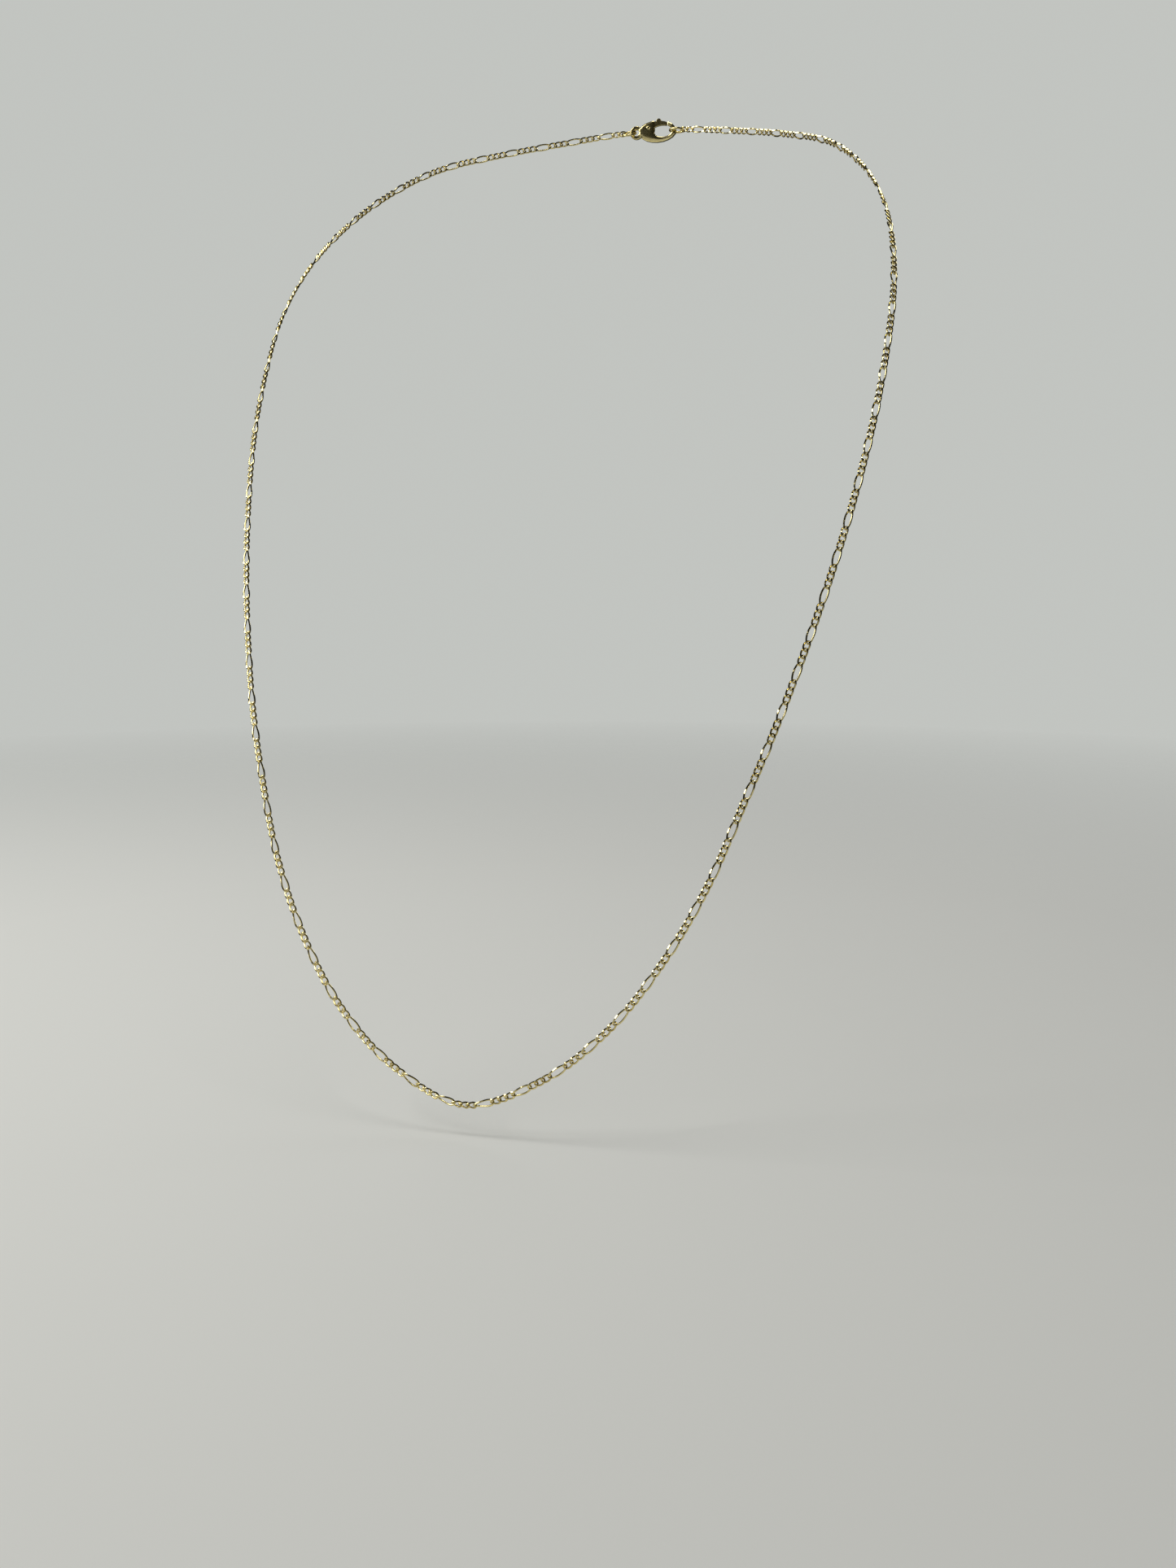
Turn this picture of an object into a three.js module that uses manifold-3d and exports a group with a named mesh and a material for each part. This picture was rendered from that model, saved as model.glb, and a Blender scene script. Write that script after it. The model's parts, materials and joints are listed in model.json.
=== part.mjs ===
// A fine gold figaro neck chain with a lobster clasp, in millimetres, in the shape in which it is worn.
// +Z is up, the wearer faces -Y, and the wearer's left is +X. The origin is the middle of the nape.
// The chain is a tree of rigid segments of eight links, which hang on the two rings of the clasp.

import * as THREE from "three";
import { mergeVertices } from "three/addons/utils/BufferGeometryUtils.js";
import Module from "manifold-3d";

const wasm = await Module();
wasm.setup();

// Chain. A link is drawn square in section. Its seat is the distance between the two points where it
// meets its neighbours.
const WIRE = 0.24;
const SHORT_SEAT = 1.2;
const LONG_SEAT = 2.9;
const SHORT_HALF_WIDTH = 0.45;
const LONG_HALF_WIDTH = 0.54;
const CURB_TWIST = THREE.MathUtils.degToRad(-31); // turn of each end of a link out of its middle plane
const REPEAT = 4; // three short links and one long one
const LONG_AT = 2; // place of the long link in the repeat, counted from the nape
const LINKS_PER_SEGMENT = 8;
const SEGMENTS_PER_SIDE = 19;
const SEAT_REACH = WIRE / 2 + 0.03; // how far the middle of a link's end bar lies past its seat
const CHAIN_START = 5.9; // distance along the route from the nape to the first link's seat

// Route of the chain from the nape round the wearer's left side to the front. The right side mirrors it.
const LEFT_ROUTE = [
  [0, 0, 0],
  [7, 0, 0],
  [22, -6, -3],
  [39, -19, -9],
  [50, -35, -21],
  [55, -51, -37],
  [55, -64, -57],
  [52, -75, -78],
  [47, -85, -99],
  [41, -93, -118],
  [32, -100, -140],
  [18, -105, -158],
  [0, -107, -167],
];

// The chain's flat side lies on the wearer, so it faces away from the middle line of the neck, and further
// down from that of the chest, which is wider and flatter. The slope of the shoulders and chest leans it up.
const NECK_MIDDLE_Y = -50;
const CHEST_MIDDLE_Y = 70;
const CHEST_Z = -90;
const FACE_LEAN = THREE.MathUtils.degToRad(22);
// At the front of the loop it rolls up, because a curb chain bends more easily over its flat side.
const FRONT_ROLL = THREE.MathUtils.degToRad(45);
const FRONT_ROLL_SPAN = 12;

// Rings.
const RING_RADIUS = 1.35;
const RING_WIRE_RADIUS = 0.25;
const RING_PLAY = 0.12;
const END_RING_TILT = THREE.MathUtils.degToRad(-4); // about X, square to the end of the link in the ring
const CLASP_RING_TILT = THREE.MathUtils.degToRad(25);
const RING_X = CHAIN_START + RING_PLAY + RING_WIRE_RADIUS - RING_RADIUS;

// Clasp, a flat lobster claw in the XZ plane.
const CLASP_THICKNESS = 1.2;
const CLASP_BEVEL = 0.18;
const CLAW = { x: 0.975, halfLength: 3.875, halfHeight: 2.1 };
const MOUTH = { x: 2.15, halfLength: 1.9, halfHeight: 1.15 };
const GATE_GAP = { from: 0.35, to: 3.1, floor: 0 };
const EYELET = { x: -3.35, radius: 1.3, hole: 0.62, halfThickness: 0.4 };
const PIVOT = { x: -0.9, z: 0.75 };
const SLOT = { from: -1.72, to: 0.7, floor: -0.1, halfWidth: 0.36 };
const RIVET_RADIUS = 0.28;
const RIVET_PROUD = 0.05;
const RUNNING_CLEARANCE = 0.05;
const LEVER_THICKNESS = 0.5;
const LEVER_Y = -0.06; // the lever stands off the slot's middle to leave room for the spring
const LEVER_HUB_RADIUS = 0.68;
const LEVER_TIP_X = 2.98;
const SPRING = { wireRadius: 0.05, coilRadius: 0.42, y: 0.28, footZ: 0.02, armX: 0.1, armZ: 0.65 };

const GOLD = { color: 0xe3c07a, roughness: 0.2, metalness: 1 };
const SPRING_STEEL = { color: 0xb9b9b4, roughness: 0.35, metalness: 1 };

const necklace = new THREE.Group();

function addPiece(name, geometry, finish) {
  const mesh = new THREE.Mesh(geometry, new THREE.MeshStandardMaterial(finish));
  mesh.name = name;
  necklace.add(mesh);
  return mesh;
}

// Booleans.

function solidOf(geometry) {
  const bare = geometry.clone();
  bare.deleteAttribute("normal");
  bare.deleteAttribute("uv");
  const merged = mergeVertices(bare, 1e-5);
  return new wasm.Manifold(
    new wasm.Mesh({
      numProp: 3,
      vertProperties: merged.attributes.position.array,
      triVerts: new Uint32Array(merged.index.array),
    }),
  );
}

function geometryOf(solid) {
  const mesh = solid.getMesh();
  const geometry = new THREE.BufferGeometry();
  geometry.setAttribute(
    "position",
    new THREE.BufferAttribute(mesh.vertProperties, 3),
  );
  geometry.setIndex(new THREE.BufferAttribute(mesh.triVerts, 1));
  geometry.computeVertexNormals();
  return geometry;
}

// Chain links.

const SECTION = [
  [1, 1],
  [-1, 1],
  [-1, -1],
  [1, -1],
]; // corners of the wire: away from the link's middle, and to one side of its plane
const INNER_SIDE = 1; // the side of the wire from this corner to the next faces the link's middle

// The corners of a closed wire of square section through the points of a loop, with mitred corners.
function wireCorners(loop, side) {
  const count = loop.length;
  return loop.flatMap((point, i) => {
    const into = point
      .clone()
      .sub(loop[(i + count - 1) % count])
      .normalize();
    const out = loop[(i + 1) % count].clone().sub(point).normalize();
    const along = into.clone().add(out).normalize();
    const up = into.clone().cross(out).normalize();
    const outward = along.clone().cross(up);
    const mitre = 1 / into.dot(along);
    return SECTION.map(([a, b]) =>
      point
        .clone()
        .addScaledVector(outward, (a * side * mitre) / 2)
        .addScaledVector(up, (b * side) / 2),
    );
  });
}

// The four corners of one side of one bar of a link's wire, in the order that turns the face outwards.
function barFace(firstCorner, bar, side) {
  const here = firstCorner + 4 * bar;
  const next = firstCorner + 4 * ((bar + 1) % 4);
  const other = (side + 1) % 4;
  return [here + side, next + side, next + other, here + other];
}

// One curb link along X, centred between its seats: a frame of four bars, with its ends turned opposite
// ways. Bar 0 is the end at +X, and bar 2 the end at -X.
function linkCorners(seat, halfWidth) {
  const end = (x, twist) =>
    [-1, 1].map(
      (across) =>
        new THREE.Vector3(
          x,
          across * halfWidth * Math.cos(twist),
          across * halfWidth * Math.sin(twist),
        ),
    );
  const reach = seat / 2 + SEAT_REACH;
  const loop = [
    ...end(reach, CURB_TWIST),
    ...end(-reach, -CURB_TWIST).reverse(),
  ];
  return wireCorners(loop, WIRE);
}

// The side faces of the weld between two facing quads, which pairs the corners that lie nearest.
function weld(corners, quad, facing) {
  const pairedWith = (shift) =>
    quad.map((_, i) => facing[(shift + 4 - i) % 4]);
  const spread = (paired) =>
    paired.reduce(
      (sum, corner, i) => sum + corners[corner].distanceTo(corners[quad[i]]),
      0,
    );
  const paired = [0, 1, 2, 3]
    .map(pairedWith)
    .reduce((best, other) => (spread(other) < spread(best) ? other : best));
  return quad.map((corner, i) => {
    const next = (i + 1) % 4;
    return [corner, quad[next], paired[next], paired[i]];
  });
}

// Route.

const mirrored = LEFT_ROUTE.slice(1, -1)
  .reverse()
  .map(([x, y, z]) => [-x, y, z]);
const route = new THREE.CatmullRomCurve3(
  [...LEFT_ROUTE, ...mirrored].map((p) => new THREE.Vector3(...p)),
  true,
  "centripetal",
);
route.arcLengthDivisions = 4000;

const linkCount = 2 * SEGMENTS_PER_SIDE * LINKS_PER_SEGMENT + 1; // the odd one is the front middle link
const isLong = (i) => i % REPEAT === LONG_AT;

// Distances of the links' seats along the chain, from the nape round the left side and back up the right.
const seats = [CHAIN_START];
for (let i = 0; i < linkCount; i++)
  seats.push(seats[i] + (isLong(i) ? LONG_SEAT : SHORT_SEAT));
const chainLoopLength = seats[linkCount] + CHAIN_START;

const onRoute = (distance) => route.getPointAt(distance / chainLoopLength);

// Direction that the chain's flat side faces at a distance along it.
function faceNormal(distance, along) {
  const point = onRoute(distance);
  const down = THREE.MathUtils.smoothstep(-point.z, 0, -CHEST_Z);
  const middleY = THREE.MathUtils.lerp(NECK_MIDDLE_Y, CHEST_MIDDLE_Y, down);
  const outward = new THREE.Vector3(point.x, point.y - middleY, 0).normalize();
  const lean = FACE_LEAN * Math.max(Math.abs(outward.x), down);
  const normal = outward
    .multiplyScalar(Math.cos(lean))
    .add(new THREE.Vector3(0, 0, Math.sin(lean)));
  normal.addScaledVector(along, -normal.dot(along)).normalize();
  const fromFront = (distance - chainLoopLength / 2) / FRONT_ROLL_SPAN;
  const roll = FRONT_ROLL * Math.exp(-fromFront * fromFront);
  return normal.applyAxisAngle(along, -roll);
}

function placedLink(i) {
  const from = onRoute(seats[i]);
  const to = onRoute(seats[i + 1]);
  const along = to.clone().sub(from).normalize();
  const normal = faceNormal((seats[i] + seats[i + 1]) / 2, along);
  const across = normal.clone().cross(along);
  const placement = new THREE.Matrix4()
    .makeBasis(along, across, normal)
    .setPosition(from.clone().add(to).multiplyScalar(0.5));
  const halfWidth = isLong(i) ? LONG_HALF_WIDTH : SHORT_HALF_WIDTH;
  return linkCorners(from.distanceTo(to), halfWidth).map((corner) =>
    corner.applyMatrix4(placement),
  );
}

// The links first to last as one body: each is welded to the next one where their end bars cross.
function segmentGeometry(first, last) {
  const corners = [];
  const faces = [];
  for (let i = first; i <= last; i++) {
    const base = corners.length;
    corners.push(...placedLink(i));
    for (let bar = 0; bar < 4; bar++)
      for (let side = 0; side < 4; side++) {
        const weldedAfter = bar === 0 && side === INNER_SIDE && i < last;
        const weldedBefore = bar === 2 && side === INNER_SIDE && i > first;
        if (!weldedAfter && !weldedBefore)
          faces.push(barFace(base, bar, side));
      }
    if (i > first) {
      const previous = base - 16;
      const endOfPrevious = barFace(previous, 0, INNER_SIDE);
      const startOfThis = barFace(base, 2, INNER_SIDE);
      faces.push(...weld(corners, endOfPrevious, startOfThis));
    }
  }
  const geometry = new THREE.BufferGeometry();
  geometry.setAttribute(
    "position",
    new THREE.Float32BufferAttribute(
      corners.flatMap((corner) => corner.toArray()),
      3,
    ),
  );
  geometry.setIndex(faces.flatMap(([a, b, c, d]) => [a, b, c, a, c, d]));
  geometry.computeVertexNormals();
  return geometry;
}

const twoDigits = (number) => String(number).padStart(2, "0");

for (let segment = 0; segment < SEGMENTS_PER_SIDE; segment++) {
  const first = segment * LINKS_PER_SEGMENT;
  const number = twoDigits(segment + 1);
  const isFrontmost = segment === SEGMENTS_PER_SIDE - 1;
  addPiece(
    `left_chain_${number}`,
    segmentGeometry(first, first + LINKS_PER_SEGMENT - 1),
    GOLD,
  );
  // The right side's frontmost segment also carries the front middle link.
  addPiece(
    `right_chain_${number}`,
    segmentGeometry(
      linkCount - first - LINKS_PER_SEGMENT - (isFrontmost ? 1 : 0),
      linkCount - first - 1,
    ),
    GOLD,
  );
}

// Rings, which stand across the clasp.

function addRing(name, x, tilt) {
  const geometry = new THREE.TorusGeometry(RING_RADIUS, RING_WIRE_RADIUS, 8, 20);
  const ring = addPiece(name, geometry, GOLD);
  ring.position.x = x;
  ring.rotation.x = tilt;
}

addRing("end_ring", RING_X, END_RING_TILT);
addRing("clasp_ring", -RING_X, CLASP_RING_TILT);

// Clasp. Its outlines are drawn in XZ and given their thickness along Y.

function plate(shape, thickness, bevel = 0) {
  const geometry = new THREE.ExtrudeGeometry(shape, {
    depth: thickness - 2 * bevel,
    curveSegments: 10,
    bevelEnabled: bevel > 0,
    bevelThickness: bevel,
    bevelSize: bevel,
    bevelOffset: -bevel,
    bevelSegments: 1,
  });
  geometry.translate(0, 0, bevel - thickness / 2);
  return geometry.rotateX(Math.PI / 2);
}

function ellipse(x, z, halfLength, halfHeight) {
  return new THREE.Shape().absellipse(
    x,
    z,
    halfLength,
    halfHeight,
    0,
    2 * Math.PI,
  );
}

function box(fromX, toX, fromZ, toZ, fromY, toY) {
  const geometry = new THREE.BoxGeometry(
    toX - fromX,
    toY - fromY,
    toZ - fromZ,
  );
  return geometry.translate(
    (fromX + toX) / 2,
    (fromY + toY) / 2,
    (fromZ + toZ) / 2,
  );
}

function pin(radius, length) {
  const geometry = new THREE.CylinderGeometry(radius, radius, length, 20);
  return geometry.translate(PIVOT.x, 0, PIVOT.z);
}

function clawBody() {
  const far = 2 * CLAW.halfHeight;
  const claw = plate(
    ellipse(CLAW.x, 0, CLAW.halfLength, CLAW.halfHeight),
    CLASP_THICKNESS,
    CLASP_BEVEL,
  );
  const eyelet = plate(
    ellipse(EYELET.x, 0, EYELET.radius, EYELET.radius),
    2 * EYELET.halfThickness,
    CLASP_BEVEL / 2,
  );
  const cuts = [
    plate(ellipse(MOUTH.x, 0, MOUTH.halfLength, MOUTH.halfHeight), far),
    plate(ellipse(EYELET.x, 0, EYELET.hole, EYELET.hole), far),
    box(GATE_GAP.from, GATE_GAP.to, GATE_GAP.floor, far, -far, far),
    box(SLOT.from, SLOT.to, SLOT.floor, far, -SLOT.halfWidth, SLOT.halfWidth),
    pin(RIVET_RADIUS + RUNNING_CLEARANCE, far),
  ];
  const blank = solidOf(claw).add(solidOf(eyelet));
  return geometryOf(
    cuts.reduce((left, cut) => left.subtract(solidOf(cut)), blank),
  );
}

// The lever: a hub on the rivet, and an arm that closes the mouth, with a thumb tab on it.
function lever() {
  const arm = new THREE.Shape();
  arm.moveTo(PIVOT.x, PIVOT.z + LEVER_HUB_RADIUS);
  arm.quadraticCurveTo(0.2, 1.95, 0.75, 1.95);
  arm.absarc(1.25, 1.95, 0.5, Math.PI, 0, true);
  arm.quadraticCurveTo(2.5, 1.9, LEVER_TIP_X, 1.62);
  arm.lineTo(LEVER_TIP_X - 0.1, 0.95);
  arm.quadraticCurveTo(1.6, 1.25, 0.4, 0.75);
  arm.lineTo(PIVOT.x, PIVOT.z - LEVER_HUB_RADIUS);
  const hub = ellipse(PIVOT.x, PIVOT.z, LEVER_HUB_RADIUS, LEVER_HUB_RADIUS);
  return geometryOf(
    solidOf(plate(arm, LEVER_THICKNESS))
      .add(solidOf(plate(hub, LEVER_THICKNESS)))
      .subtract(
        solidOf(pin(RIVET_RADIUS + RUNNING_CLEARANCE, 2 * CLAW.halfHeight)),
      ),
  ).translate(0, LEVER_Y, 0);
}

// The spring: a wire that stands on the slot's floor, bends over the rivet and lies along the lever's arm.
function spring() {
  const bend = [];
  for (let degrees = 180; degrees >= 60; degrees -= 20) {
    const angle = THREE.MathUtils.degToRad(degrees);
    bend.push([
      PIVOT.x + SPRING.coilRadius * Math.cos(angle),
      PIVOT.z + SPRING.coilRadius * Math.sin(angle),
    ]);
  }
  const points = [
    [PIVOT.x - SPRING.coilRadius, SPRING.footZ],
    ...bend,
    [SPRING.armX, SPRING.armZ],
  ];
  const wire = ellipse(0, 0, SPRING.wireRadius, SPRING.wireRadius);
  return new THREE.ExtrudeGeometry(wire, {
    steps: 16,
    curveSegments: 3,
    extrudePath: new THREE.CatmullRomCurve3(
      points.map(([x, z]) => new THREE.Vector3(x, SPRING.y, z)),
    ),
  });
}

addPiece("clasp_body", clawBody(), GOLD);
addPiece("clasp_lever", lever(), GOLD);
addPiece(
  "clasp_rivet",
  pin(RIVET_RADIUS, CLASP_THICKNESS + 2 * RIVET_PROUD),
  GOLD,
);
addPiece("clasp_spring", spring(), SPRING_STEEL);

export default necklace;
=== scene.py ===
"""Looks of the fine gold figaro neck chain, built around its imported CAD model.

Every link of the chain is a closed, twisted loop of wire of its own. The links ride in eights on the chain
segments of the frame, along a smooth curve through the frame's hinges. Lengths are in metres.
"""

import json
import math

import bpy
import numpy as np
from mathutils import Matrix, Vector
from mathutils.kdtree import KDTree

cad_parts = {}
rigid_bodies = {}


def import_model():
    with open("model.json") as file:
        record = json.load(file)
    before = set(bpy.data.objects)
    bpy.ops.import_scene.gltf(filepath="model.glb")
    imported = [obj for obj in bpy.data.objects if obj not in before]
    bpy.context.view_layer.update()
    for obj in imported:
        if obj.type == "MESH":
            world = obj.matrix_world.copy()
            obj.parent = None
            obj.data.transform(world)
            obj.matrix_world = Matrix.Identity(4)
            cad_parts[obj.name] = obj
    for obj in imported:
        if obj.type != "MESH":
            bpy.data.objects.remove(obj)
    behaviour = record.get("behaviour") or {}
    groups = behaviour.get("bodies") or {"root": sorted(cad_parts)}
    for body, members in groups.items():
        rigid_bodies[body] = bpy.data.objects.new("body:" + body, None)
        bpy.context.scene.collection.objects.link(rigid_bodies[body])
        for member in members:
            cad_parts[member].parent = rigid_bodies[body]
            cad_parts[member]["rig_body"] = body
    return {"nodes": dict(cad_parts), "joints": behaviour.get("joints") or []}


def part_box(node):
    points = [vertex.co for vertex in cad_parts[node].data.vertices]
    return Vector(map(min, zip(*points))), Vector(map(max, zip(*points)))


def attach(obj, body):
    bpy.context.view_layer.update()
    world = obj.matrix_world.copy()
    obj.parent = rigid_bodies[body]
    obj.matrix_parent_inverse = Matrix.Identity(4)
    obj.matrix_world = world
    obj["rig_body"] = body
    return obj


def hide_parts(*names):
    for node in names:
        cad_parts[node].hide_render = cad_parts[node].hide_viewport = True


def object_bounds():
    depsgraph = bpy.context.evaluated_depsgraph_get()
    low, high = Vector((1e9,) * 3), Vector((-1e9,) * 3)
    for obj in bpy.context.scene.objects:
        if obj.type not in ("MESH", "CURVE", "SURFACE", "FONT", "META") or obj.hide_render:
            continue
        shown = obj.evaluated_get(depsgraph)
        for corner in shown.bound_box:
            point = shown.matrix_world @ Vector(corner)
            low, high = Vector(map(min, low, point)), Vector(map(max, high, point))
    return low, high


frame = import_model()
cad_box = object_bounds()

MM = 0.001

# Camera, at the height of the chest and a little to the wearer's left.
CAMERA_AZIMUTH = math.radians(17.4)
CAMERA_ELEVATION = math.radians(8.3)
CAMERA_TARGET = Vector((-0.0068, -0.0218, -0.1294))
CAMERA_DISTANCE = 0.3268
SENSOR_SIDE = 36.0  # along the picture's height, in millimetres
CAMERA_LENS = 37.4

# Chain.
SEGMENTS_PER_SIDE = 19
LINKS_PER_SEGMENT = 8
REPEAT = 4  # three short links and one long one
LONG_AT = 2  # place of the long link in the repeat, counted from the nape
SHORT_SEAT = 1.2 * MM  # distance between the two points where a link meets its neighbours
LONG_SEAT = 2.9 * MM
WIRE_RADIUS = 0.145 * MM
SEAT_REACH = 0.21 * MM  # how far the middle of a link's end lies past its seat
SHORT_LINK = {"half_width": 0.46 * MM, "power": 2.6, "steps": 36}
LONG_LINK = {"half_width": 0.52 * MM, "power": 2.7, "steps": 56}
CURB_TWIST = math.radians(-42)  # turn of each end of a link out of its middle plane
BEVEL_SLOPE = math.radians(50)  # of each diamond-cut flat's normal, above or below the link's plane
BEVEL_DEPTH = 0.8  # distance of those flats from the middle of the wire, in wire radii
INNER_STEPS = 9  # round the uncut inner side of the wire
CUT_SHARE = 0.92  # height left by the cut across the chain's face, as a share of the uncut link's
LINK_WOBBLE = math.radians(3)  # how far a link turns about the chain from where its neighbours point
WOBBLE_SEED = 7
SPLINE_STEPS = 120  # points of the curve between two hinges
FRONT_REACH = 1.0 * MM  # from the middle plane, within which the frontmost CAD segments have only that link

# The chain's flat side lies on the wearer, so it faces away from the middle line of the neck, and further
# down from that of the chest, which is wider and flatter. The slope of the shoulders and chest leans it up.
NECK_MIDDLE_Y = -50 * MM
CHEST_MIDDLE_Y = 70 * MM
CHEST_Z = -90 * MM
FACE_LEAN = math.radians(22)
# At the front of the loop it rolls up, because a curb chain bends more easily over its flat side.
FRONT_ROLL = math.radians(45)
FRONT_ROLL_SPAN = 12 * MM
# At each end the chain is rolled so that its end link stands square to the ring that passes through it.
LEFT_END_ROLL = math.radians(-20)
RIGHT_END_ROLL = math.radians(37)
END_ROLL_SPAN = 7 * MM

SHARP_ANGLE = math.radians(28)  # edges that turn by more than this stay crisp


# Materials.


def new_material(name, metallic=0.0):
    """A material and its node tree, with the shader to drive."""
    material = bpy.data.materials.new(name)
    material.use_nodes = True
    tree = material.node_tree
    shader = tree.nodes["Principled BSDF"]
    shader.inputs["Metallic"].default_value = metallic
    return material, tree, shader


def noise(tree, scale, detail=2.0, stretch=(1, 1, 1)):
    """A noise texture in the object's own space, stretched along the axes that have a small factor."""
    coordinates = tree.nodes.new("ShaderNodeTexCoord")
    mapping = tree.nodes.new("ShaderNodeMapping")
    mapping.inputs["Scale"].default_value = stretch
    texture = tree.nodes.new("ShaderNodeTexNoise")
    texture.inputs["Scale"].default_value = scale
    texture.inputs["Detail"].default_value = detail
    tree.links.new(coordinates.outputs["Object"], mapping.inputs["Vector"])
    tree.links.new(mapping.outputs["Vector"], texture.inputs["Vector"])
    return texture.outputs["Fac"]


def map_range(tree, value, low, high, from_low=0.3, from_high=0.7):
    """A value stretched to run from low to high. Noise mostly lies between 0.3 and 0.7."""
    node = tree.nodes.new("ShaderNodeMapRange")
    node.inputs["From Min"].default_value = from_low
    node.inputs["From Max"].default_value = from_high
    node.inputs["To Min"].default_value = low
    node.inputs["To Max"].default_value = high
    tree.links.new(value, node.inputs["Value"])
    return node.outputs["Result"]


def mix_colours(tree, factor, first, second):
    """The first colour where the factor is 0, and the second where it is 1."""
    node = tree.nodes.new("ShaderNodeMix")
    node.data_type = "RGBA"
    node.inputs["A"].default_value = (*first, 1)
    node.inputs["B"].default_value = (*second, 1)
    tree.links.new(factor, node.inputs["Factor"])
    return node.outputs["Result"]


def bump(tree, shader, height, strength, distance):
    """Lets a height texture shade the surface."""
    node = tree.nodes.new("ShaderNodeBump")
    node.inputs["Strength"].default_value = strength
    node.inputs["Distance"].default_value = distance
    tree.links.new(height, node.inputs["Height"])
    tree.links.new(node.outputs["Normal"], shader.inputs["Normal"])


PALE_GOLD = (0.84, 0.73, 0.37)
DEEP_GOLD = (0.68, 0.56, 0.23)
PALE_STEEL = (0.62, 0.62, 0.60)
DARK_STEEL = (0.46, 0.46, 0.45)


def chain_gold():
    """Pale yellow gold, diamond-cut: each link is a little paler or deeper in colour than the next."""
    material, tree, shader = new_material("chain_gold", metallic=1.0)
    geometry = tree.nodes.new("ShaderNodeNewGeometry")
    per_link = geometry.outputs["Random Per Island"]
    shade = mix_colours(tree, per_link, PALE_GOLD, DEEP_GOLD)
    tree.links.new(shade, shader.inputs["Base Color"])
    wear = noise(tree, scale=2600, detail=3)
    roughness = map_range(tree, wear, 0.06, 0.18)
    tree.links.new(roughness, shader.inputs["Roughness"])
    bump(tree, shader, noise(tree, scale=5200), strength=0.25, distance=0.02 * MM)
    return material


def clasp_gold():
    """The same gold, cast and tumbled: softly waved, with a fine haze of scratches from handling."""
    material, tree, shader = new_material("clasp_gold", metallic=1.0)
    patches = map_range(tree, noise(tree, scale=700, detail=2), 0.0, 1.0)
    tree.links.new(mix_colours(tree, patches, PALE_GOLD, DEEP_GOLD), shader.inputs["Base Color"])
    haze = noise(tree, scale=5000, detail=4)
    tree.links.new(map_range(tree, haze, 0.14, 0.24), shader.inputs["Roughness"])
    waves = noise(tree, scale=1200, detail=1)
    bump(tree, shader, waves, strength=0.3, distance=0.03 * MM)
    return material


def spring_steel():
    """Drawn steel wire, with lines along it."""
    material, tree, shader = new_material("spring_steel", metallic=1.0)
    lines = noise(tree, scale=12000, detail=3, stretch=(0.1, 1, 0.1))
    shade = mix_colours(tree, lines, PALE_STEEL, DARK_STEEL)
    tree.links.new(shade, shader.inputs["Base Color"])
    tree.links.new(map_range(tree, lines, 0.25, 0.45), shader.inputs["Roughness"])
    return material


CHAIN_GOLD = chain_gold()
CLASP_GOLD = clasp_gold()
SPRING_STEEL = spring_steel()


# Pieces.


def finish_piece(piece, material, node):
    """Gives a piece its material, and lets it stand for its CAD node on that node's body."""
    piece.data.materials.clear()
    piece.data.materials.append(material)
    piece.data.polygons.foreach_set("use_smooth", [True] * len(piece.data.polygons))
    piece.data.set_sharp_from_angle(angle=SHARP_ANGLE)
    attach(piece, frame["nodes"][node]["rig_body"])
    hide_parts(node)
    return piece


def mesh_piece(name, vertices, faces):
    """A new object with a mesh of these faces."""
    mesh = bpy.data.meshes.new(name)
    mesh.from_pydata([tuple(v) for v in vertices], [], faces)
    mesh.validate()
    piece = bpy.data.objects.new(name, mesh)
    bpy.context.scene.collection.objects.link(piece)
    return piece


# Chain links.


def unit(vectors):
    return vectors / np.linalg.norm(vectors, axis=-1, keepdims=True)


def is_long(link):
    return link % REPEAT == LONG_AT


def wire_section():
    """The link wire's outline, in wire radii: outward in the link's plane, and out of that plane.

    It is round on the inner side of the link. Outside it has a narrow round rim between two flat bevels.
    """
    half_bevel = math.acos(BEVEL_DEPTH)  # half the angle that a bevel spans, seen from the wire's middle
    rim, inner = BEVEL_SLOPE - half_bevel, BEVEL_SLOPE + half_bevel
    angles = [-rim, 0, rim, *np.linspace(inner, 2 * np.pi - inner, INNER_STEPS + 1)]
    return np.stack([np.cos(angles), np.sin(angles)], axis=1)


def link_points(seat, shape):
    """The surface points of one curb link along X, centred between its seats, as steps x sides x 3.

    Its middle line is an oval whose two ends are turned opposite ways about X. The last cut takes off what
    stands too far out of the chain's flat side.
    """
    angle = np.linspace(0, 2 * np.pi, shape["steps"], endpoint=False)
    exponent = 2 / shape["power"]
    half_length = seat / 2 + SEAT_REACH
    x = half_length * np.sign(np.cos(angle)) * np.abs(np.cos(angle)) ** exponent
    across = shape["half_width"] * np.sign(np.sin(angle)) * np.abs(np.sin(angle)) ** exponent
    twist = CURB_TWIST * x / half_length
    middle = np.stack([x, across * np.cos(twist), across * np.sin(twist)], axis=1)
    along = unit(np.roll(middle, -1, axis=0) - np.roll(middle, 1, axis=0))
    plane_normal = np.stack([0 * x, -np.sin(twist), np.cos(twist)], axis=1)
    outward = unit(np.cross(along, plane_normal))
    up = np.cross(outward, along)
    out_share, up_share = WIRE_RADIUS * wire_section().T[..., None]
    points = middle[:, None] + out_share * outward[:, None] + up_share * up[:, None]
    height = CUT_SHARE * np.abs(points[..., 2]).max()
    points[..., 2] = np.clip(points[..., 2], -height, height)
    return points


def tube_faces(steps, sides, first=0):
    """Quads of a closed tube whose points are numbered step by step."""
    return [
        [
            first + step * sides + side,
            first + (step + 1) % steps * sides + side,
            first + (step + 1) % steps * sides + (side + 1) % sides,
            first + step * sides + (side + 1) % sides,
        ]
        for step in range(steps)
        for side in range(sides)
    ]


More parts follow.
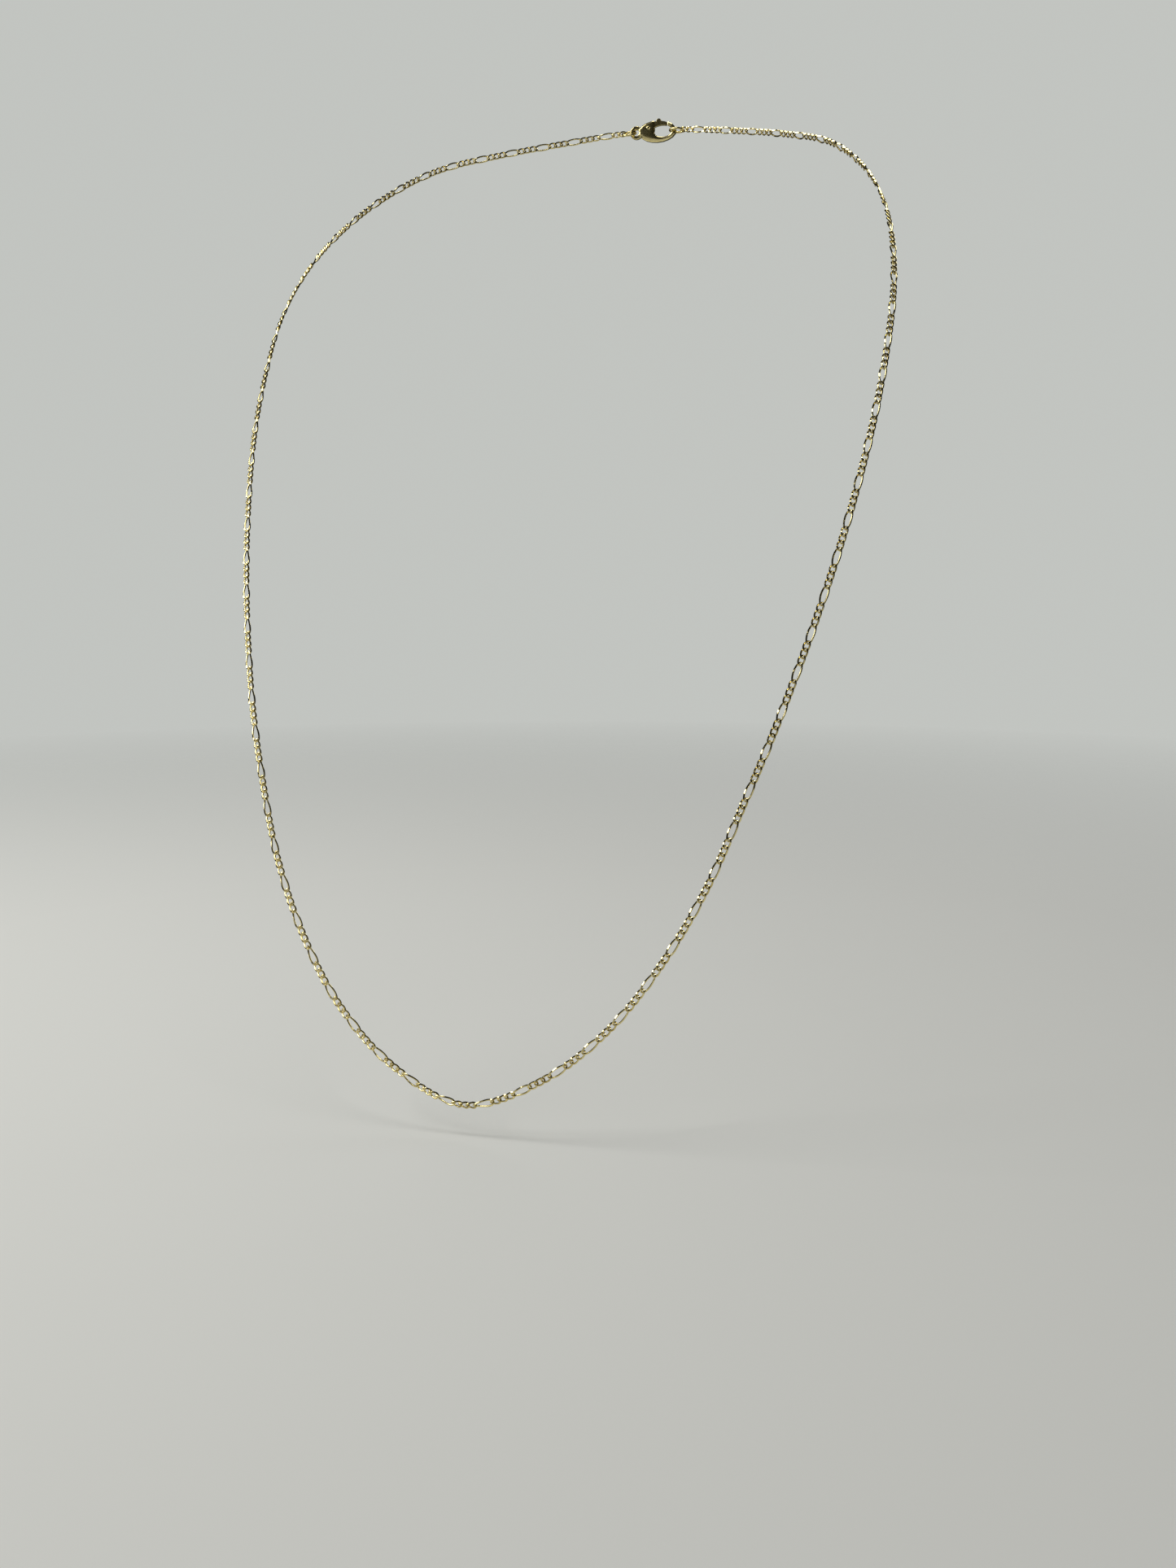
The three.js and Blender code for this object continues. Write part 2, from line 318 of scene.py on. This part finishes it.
def hinge_of(body):
    """Place of the joint that carries a body. A chain segment's body has the name of its node."""
    return next(Vector(joint["pos_m"]) for joint in frame["joints"] if joint["child"] == body)


def segment_name(side, number):
    return f"{side}_chain_{number:02d}"


def front_middle():
    """Middle of the front middle link, from the corners that the two frontmost CAD segments have there."""
    corners = [
        vertex.co
        for side in ("left", "right")
        for vertex in frame["nodes"][segment_name(side, SEGMENTS_PER_SIDE)].data.vertices
        if abs(vertex.co.x) < FRONT_REACH
    ]
    return sum(corners, Vector()) / len(corners)


def spline_through(before, start, end, after):
    """Points from start up to end on a centripetal Catmull-Rom curve."""
    gap_before, gap, gap_after = (
        np.sqrt(np.linalg.norm(q - p)) for p, q in ((before, start), (start, end), (end, after))
    )
    leave = (start - before) / gap_before - (end - before) / (gap_before + gap) + (end - start) / gap
    arrive = (end - start) / gap - (after - start) / (gap + gap_after) + (after - end) / gap_after
    leave, arrive = leave * gap, arrive * gap
    t = np.linspace(0, 1, SPLINE_STEPS, endpoint=False)[:, None]
    return (
        start
        + leave * t
        + (3 * (end - start) - 2 * leave - arrive) * t**2
        + (2 * (start - end) + leave + arrive) * t**3
    )


def lengths_of_links():
    """Distance between the seats of every link, from the clasp's left end round to its right end."""
    count = 2 * SEGMENTS_PER_SIDE * LINKS_PER_SEGMENT + 1  # the odd one is the front middle link
    return np.array([LONG_SEAT if is_long(link) else SHORT_SEAT for link in range(count)])


class ChainLine:
    """The middle line of the chain, from the first link at the clasp's left end round to the last one."""

    def __init__(self):
        self.seats = np.concatenate([[0], np.cumsum(lengths_of_links())])
        left = [hinge_of(segment_name("left", n + 1)) for n in range(SEGMENTS_PER_SIDE)]
        right = [hinge_of(segment_name("right", n + 1)) for n in range(SEGMENTS_PER_SIDE)]
        knots = np.array([*left, front_middle(), *reversed(right)], float)
        left_stations = self.seats[: SEGMENTS_PER_SIDE * LINKS_PER_SEGMENT : LINKS_PER_SEGMENT]
        total = self.seats[-1]
        stations = np.concatenate([left_stations, [total / 2], total - left_stations[::-1]])
        nape = np.zeros((1, 3))
        closed = np.concatenate([nape, knots, nape])
        distances, points = [], []
        for k in range(len(knots) - 1):
            stretch = spline_through(*closed[k : k + 4])
            steps = np.linalg.norm(np.diff(np.vstack([stretch, knots[k + 1]]), axis=0), axis=1)
            covered = np.concatenate([[0], np.cumsum(steps)[:-1]]) / steps.sum()
            distances.append(stations[k] + covered * (stations[k + 1] - stations[k]))
            points.append(stretch)
        self.distances = np.concatenate([*distances, stations[-1:]])
        self.points = np.vstack([*points, knots[-1:]])

    def at(self, distance):
        """The point at a distance along the chain."""
        return np.array([np.interp(distance, self.distances, self.points[:, i]) for i in range(3)])

    def face_normal(self, distance, along):
        """Direction that the chain's flat side faces."""
        x, y, z = self.at(distance)
        down = min(z / CHEST_Z, 1)
        middle_y = NECK_MIDDLE_Y + (CHEST_MIDDLE_Y - NECK_MIDDLE_Y) * down**2 * (3 - 2 * down)
        outward = unit(np.array([x, y - middle_y, 0]))
        lean = FACE_LEAN * max(abs(outward[0]), down)
        normal = outward * math.cos(lean) + np.array([0, 0, math.sin(lean)])
        normal = unit(normal - normal.dot(along) * along)
        length = self.seats[-1]
        rolls = (
            (-FRONT_ROLL, (distance - length / 2) / FRONT_ROLL_SPAN),
            (LEFT_END_ROLL, distance / END_ROLL_SPAN),
            (RIGHT_END_ROLL, (length - distance) / END_ROLL_SPAN),
        )
        roll = sum(turn * math.exp(-(away**2)) for turn, away in rolls)
        return normal * math.cos(roll) + np.cross(along, normal) * math.sin(roll)


LINE = ChainLine()
WOBBLES = np.random.default_rng(WOBBLE_SEED).uniform(-LINK_WOBBLE, LINK_WOBBLE, len(LINE.seats))


def placed_link(link):
    """The surface points of a link in its place, as steps x sides x 3."""
    start, end = LINE.at(LINE.seats[link]), LINE.at(LINE.seats[link + 1])
    along = unit(end - start)
    normal = LINE.face_normal((LINE.seats[link] + LINE.seats[link + 1]) / 2, along)
    across = np.cross(normal, along)
    wobble = WOBBLES[link]
    axes = np.stack(
        [
            along,
            across * math.cos(wobble) + normal * math.sin(wobble),
            normal * math.cos(wobble) - across * math.sin(wobble),
        ]
    )
    shape = LONG_LINK if is_long(link) else SHORT_LINK
    points = link_points(np.linalg.norm(end - start), shape)
    return (start + end) / 2 + points @ axes


def chain_segment(name, links):
    """The links that ride on one CAD segment, each a closed tube."""
    vertices, faces = [], []
    for link in links:
        points = placed_link(link)
        faces += tube_faces(*points.shape[:2], first=len(vertices))
        vertices += points.reshape(-1, 3).tolist()
    piece = mesh_piece(f"{name}_links", vertices, faces)
    return finish_piece(piece, CHAIN_GOLD, name)


def chain():
    """All links, in eights, on both sides of the loop."""
    count = len(LINE.seats) - 1
    for segment in range(SEGMENTS_PER_SIDE):
        first = segment * LINKS_PER_SEGMENT
        links = range(first, first + LINKS_PER_SEGMENT)
        frontmost = segment == SEGMENTS_PER_SIDE - 1
        chain_segment(segment_name("left", segment + 1), links)
        # The right side's frontmost segment also carries the front middle link.
        mirrored = [count - 1 - link for link in links] + ([count // 2] if frontmost else [])
        chain_segment(segment_name("right", segment + 1), mirrored)


# Rings.

RING_STEPS = 96
RING_SIDES = 20
SEAM_GAP = 0.03 * MM  # between the two ends of the open jump ring
SOLDER_BUMP = 0.03 * MM  # by which the closed ring's wire is thicker, in radius, where it is soldered
SOLDER_SPREAD = 0.12  # in radians round the ring


def ring_plane(node):
    """Of a CAD ring: its centre, two directions in its plane, its axis, its radius and its wire radius."""
    points = np.array([v.co for v in frame["nodes"][node].data.vertices], float)
    centre = (points.min(0) + points.max(0)) / 2
    axes = np.linalg.svd(points - points.mean(0), full_matrices=False)[2]
    axis = axes[2]
    flat = points - centre - np.outer((points - centre) @ axis, axis)
    reach = np.linalg.norm(flat, axis=1)
    wire = (reach.max() - reach.min()) / 2
    return centre, axes[0], np.cross(axis, axes[0]), axis, reach.max() - wire, wire


def ring(node, seam_towards, soldered):
    """A ring of round wire, with its seam on the side towards a direction.

    Its wire is thinner than the CAD ring's by the height of the solder, which so stays inside that ring.
    """
    centre, first, second, axis, radius, wire = ring_plane(node)
    towards = np.array(seam_towards, float)
    seam = math.atan2(towards @ second, towards @ first)
    half_gap = 0 if soldered else SEAM_GAP / 2 / radius
    around = np.linspace(half_gap, 2 * np.pi - half_gap, RING_STEPS, endpoint=not soldered)
    from_seam = np.minimum(around, 2 * np.pi - around)
    solder = SOLDER_BUMP * np.exp(-((from_seam / SOLDER_SPREAD) ** 2)) * soldered
    thickness = wire - SOLDER_BUMP + solder
    outward = np.cos(around + seam)[:, None] * first + np.sin(around + seam)[:, None] * second
    turn = np.linspace(0, 2 * np.pi, RING_SIDES, endpoint=False)[None, :, None]
    section = np.cos(turn) * outward[:, None] + np.sin(turn) * axis
    points = centre + radius * outward[:, None] + thickness[:, None, None] * section
    faces = tube_faces(RING_STEPS, RING_SIDES)
    if not soldered:
        faces = faces[:-RING_SIDES]
        last = (RING_STEPS - 1) * RING_SIDES
        faces += [list(range(RING_SIDES)), list(range(last, last + RING_SIDES))[::-1]]
    piece = mesh_piece(f"{node}_wire", points.reshape(-1, 3), faces)
    return finish_piece(piece, CLASP_GOLD, node)


# Clasp. The body and the lever are castings: the CAD solids with every edge rounded by tumbling.


def apply_modifiers(piece):
    """Bakes a piece's modifiers into its mesh."""
    graph = bpy.context.evaluated_depsgraph_get()
    mesh = bpy.data.meshes.new_from_object(piece.evaluated_get(graph), depsgraph=graph)
    piece.modifiers.clear()
    piece.data = mesh


CAST_VOXEL = 0.034 * MM
BODY_TUMBLING = 18  # rounds of smoothing
LEVER_TUMBLING = 10
TUMBLING_STEP = 0.5  # share of the way to the mean of its neighbours that a point moves in one round


def cast(node, name):
    """A fine and even copy of a CAD solid."""
    piece = bpy.data.objects.new(name, frame["nodes"][node].data.copy())
    bpy.context.scene.collection.objects.link(piece)
    remesh = piece.modifiers.new("cast", "REMESH")
    remesh.mode = "VOXEL"
    remesh.voxel_size = CAST_VOXEL
    apply_modifiers(piece)
    return piece


def tumble(piece, rounds):
    """Rounds all edges."""
    smooth = piece.modifiers.new("tumbled", "SMOOTH")
    smooth.factor = TUMBLING_STEP
    smooth.iterations = rounds
    apply_modifiers(piece)


DOME_FROM = 0.38 * MM  # half thickness at which the claw's faces begin to curve over, just outside its slot
DOME_RIM = 0.06 * MM  # thickness of the band of wall, from there up, that marks the outline
DOME_WIDTH = 0.9 * MM  # distance from the outline at which the dome is full
DOME_FALL = 0.8  # share of the thickness above DOME_FROM that is gone at the outline
RIVET_CLEAR = 0.45 * MM  # radius round the rivet within which no wall counts as outline
FACE_TURN = 0.5  # a wall's normal has less than this along Y


def dome(piece):
    """Rounds the claw's two flat faces into cushions that fall away towards its outline."""
    vertices = piece.data.vertices
    pivot = hinge_of("lever")
    outline = [
        (vertex.co.x, 0, vertex.co.z)
        for vertex in vertices
        if DOME_FROM < abs(vertex.co.y) < DOME_FROM + DOME_RIM
        and abs(vertex.normal.y) < FACE_TURN
        and math.hypot(vertex.co.x - pivot.x, vertex.co.z - pivot.z) > RIVET_CLEAR
    ]
    tree = KDTree(len(outline))
    for index, point in enumerate(outline):
        tree.insert(point, index)
    tree.balance()
    for vertex in vertices:
        above = abs(vertex.co.y) - DOME_FROM
        if above > 0:
            _, _, inside = tree.find((vertex.co.x, 0, vertex.co.z))
            slope = 1 - min(inside / DOME_WIDTH, 1)
            kept = 1 - DOME_FALL * (1 - math.sqrt(1 - slope**2))
            vertex.co.y = math.copysign(DOME_FROM + above * kept, vertex.co.y)


def clasp():
    """The lobster clasp: two castings, the pin that joins them and the spring between them."""
    body = cast("clasp_body", "clasp_body_cast")
    dome(body)
    tumble(body, BODY_TUMBLING)
    finish_piece(body, CLASP_GOLD, "clasp_body")
    lever = cast("clasp_lever", "clasp_lever_cast")
    tumble(lever, LEVER_TUMBLING)
    finish_piece(lever, CLASP_GOLD, "clasp_lever")
    rivet()
    spring()


RIVET_STEPS = 48
HEAD_STEPS = 6
HEAD_RISE = 0.09 * MM  # of the domed head, from its rim to its top


def rivet():
    """A pin along Y with domed ends, turned about its own axis."""
    low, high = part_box("clasp_rivet")
    centre = (low + high) / 2
    radius, half = (high.x - low.x) / 2, (high.y - low.y) / 2
    tilts = np.linspace(0, np.pi / 2, HEAD_STEPS + 1)[1:]
    rims = [(radius * math.sin(t), half - HEAD_RISE * (1 - math.cos(t))) for t in tilts]
    rims += [(r, -y) for r, y in reversed(rims)]
    turn = np.linspace(0, 2 * np.pi, RIVET_STEPS, endpoint=False)
    rings = [np.stack([r * np.cos(turn), 0 * turn + y, -r * np.sin(turn)], axis=1) for r, y in rims]
    tops = [(0, half, 0), (0, -half, 0)]
    vertices = np.vstack([*rings, *tops]) + np.array(centre)
    sides = tube_faces(len(rings), RIVET_STEPS)[: (len(rings) - 1) * RIVET_STEPS]
    last, top = (len(rings) - 1) * RIVET_STEPS, len(rings) * RIVET_STEPS
    after = (np.arange(RIVET_STEPS) + 1) % RIVET_STEPS
    caps = [[top, k, after[k]] for k in range(RIVET_STEPS)]
    caps += [[top + 1, last + after[k], last + k] for k in range(RIVET_STEPS)]
    faces = [[int(i) for i in face] for face in sides + caps]
    piece = mesh_piece("clasp_rivet_pin", vertices, faces)
    return finish_piece(piece, CLASP_GOLD, "clasp_rivet")


def spring():
    """The CAD spring with its faceted wire rounded."""
    piece = bpy.data.objects.new("clasp_spring_wire", frame["nodes"]["clasp_spring"].data.copy())
    bpy.context.scene.collection.objects.link(piece)
    weld = piece.modifiers.new("closed", "WELD")
    weld.merge_threshold = 0.001 * MM
    rounder = piece.modifiers.new("round", "SUBSURF")
    rounder.levels = rounder.render_levels = 2
    apply_modifiers(piece)
    return finish_piece(piece, SPRING_STEEL, "clasp_spring")


# Studio.

FLOOR_DROP = 4 * MM  # from the lowest link to the floor
FLOOR_RADIUS = 0.55
FLOOR_SOLID = 0.16  # radius up to which the floor is solid: beyond it, it fades into the backdrop
FLOOR_STEPS = 96
PAPER = (0.80, 0.81, 0.775)
BACKDROP = (0.54, 0.555, 0.53)
ROOM = (0.016, 0.016, 0.014)  # the dark room, which the metal mirrors
WARM = (1, 0.99, 0.97)
COOL = (0.97, 0.98, 1)
WHITE = (1, 1, 1)
NAPE = (0, 0, 0)


def floor():
    """A round pale floor whose rim fades into the backdrop."""
    middle = (cad_box[0] + cad_box[1]) / 2
    height = cad_box[0].z - FLOOR_DROP
    rim = [2 * math.pi * step / FLOOR_STEPS for step in range(FLOOR_STEPS)]
    vertices = [(FLOOR_RADIUS * math.cos(a), FLOOR_RADIUS * math.sin(a), 0) for a in rim]
    surface = mesh_piece("studio_floor", vertices, [list(range(FLOOR_STEPS))])
    surface.location = (middle.x, middle.y, height)
    material, tree, shader = new_material("studio_paper")
    shader.inputs["Base Color"].default_value = (*PAPER, 1)
    shader.inputs["Roughness"].default_value = 0.95
    shader.inputs["Specular IOR Level"].default_value = 0.0
    coordinates = tree.nodes.new("ShaderNodeTexCoord")
    distance = tree.nodes.new("ShaderNodeVectorMath")
    distance.operation = "LENGTH"
    tree.links.new(coordinates.outputs["Object"], distance.inputs[0])
    solid = map_range(tree, distance.outputs["Value"], 1, 0, FLOOR_SOLID, FLOOR_RADIUS)
    tree.links.new(solid, shader.inputs["Alpha"])
    surface.data.materials.append(material)


def backdrop():
    """A pale backdrop all round, in a room that is dark otherwise."""
    world = bpy.data.worlds.new("studio_air")
    world.use_nodes = True
    tree = world.node_tree
    pale, dark = tree.nodes["Background"], tree.nodes.new("ShaderNodeBackground")
    pale.inputs["Color"].default_value = (*BACKDROP, 1)
    dark.inputs["Color"].default_value = (*ROOM, 1)
    path = tree.nodes.new("ShaderNodeLightPath")
    mix = tree.nodes.new("ShaderNodeMixShader")
    tree.links.new(path.outputs["Is Camera Ray"], mix.inputs["Fac"])
    tree.links.new(dark.outputs["Background"], mix.inputs[1])
    tree.links.new(pale.outputs["Background"], mix.inputs[2])
    tree.links.new(mix.outputs["Shader"], tree.nodes["World Output"].inputs["Surface"])
    bpy.context.scene.world = world


def area_light(name, location, side, power, target, colour):
    """A square light, unseen by the camera, that shines at a target. Its power is in watts."""
    light = bpy.data.lights.new(name, "AREA")
    light.shape = "SQUARE"
    light.size = side
    light.energy = power
    light.color = colour
    lamp = bpy.data.objects.new(name, light)
    lamp.location = location
    lamp.rotation_mode = "QUATERNION"
    lamp.rotation_quaternion = (Vector(target) - Vector(location)).to_track_quat("-Z", "Y")
    lamp.visible_camera = False
    bpy.context.scene.collection.objects.link(lamp)


def studio():
    """Pale floor, backdrop and soft light."""
    floor()
    backdrop()
    middle = (cad_box[0] + cad_box[1]) / 2
    area_light("key", (-0.55, -0.30, 0.35), side=0.45, power=4.0, target=middle, colour=WARM)
    area_light("top", (-0.05, -0.10, 0.55), side=0.25, power=1.15, target=middle, colour=WARM)
    area_light("back", (0.35, 0.55, 0.35), side=0.4, power=1.1, target=middle, colour=COOL)
    # A dim panel for the clasp's flat side to mirror.
    area_light("panel", (-0.17, -0.55, -0.08), side=0.3, power=0.12, target=NAPE, colour=WHITE)
    bpy.context.scene.view_settings.view_transform = "Standard"


def camera():
    """The camera, aimed at its target from its azimuth and elevation."""
    data = bpy.data.cameras.new("camera")
    data.sensor_width = SENSOR_SIDE
    data.lens = CAMERA_LENS
    viewer = bpy.data.objects.new("camera", data)
    back = Vector(
        (
            math.sin(CAMERA_AZIMUTH) * math.cos(CAMERA_ELEVATION),
            -math.cos(CAMERA_AZIMUTH) * math.cos(CAMERA_ELEVATION),
            math.sin(CAMERA_ELEVATION),
        )
    )
    viewer.location = CAMERA_TARGET + CAMERA_DISTANCE * back
    viewer.rotation_mode = "QUATERNION"
    viewer.rotation_quaternion = (-back).to_track_quat("-Z", "Y")
    data.clip_start = 0.01
    bpy.context.scene.collection.objects.link(viewer)
    bpy.context.scene.camera = viewer


camera()
chain()
ring("end_ring", seam_towards=(0, -1, 0), soldered=True)
ring("clasp_ring", seam_towards=(0, 1, 0.3), soldered=False)
clasp()
studio()
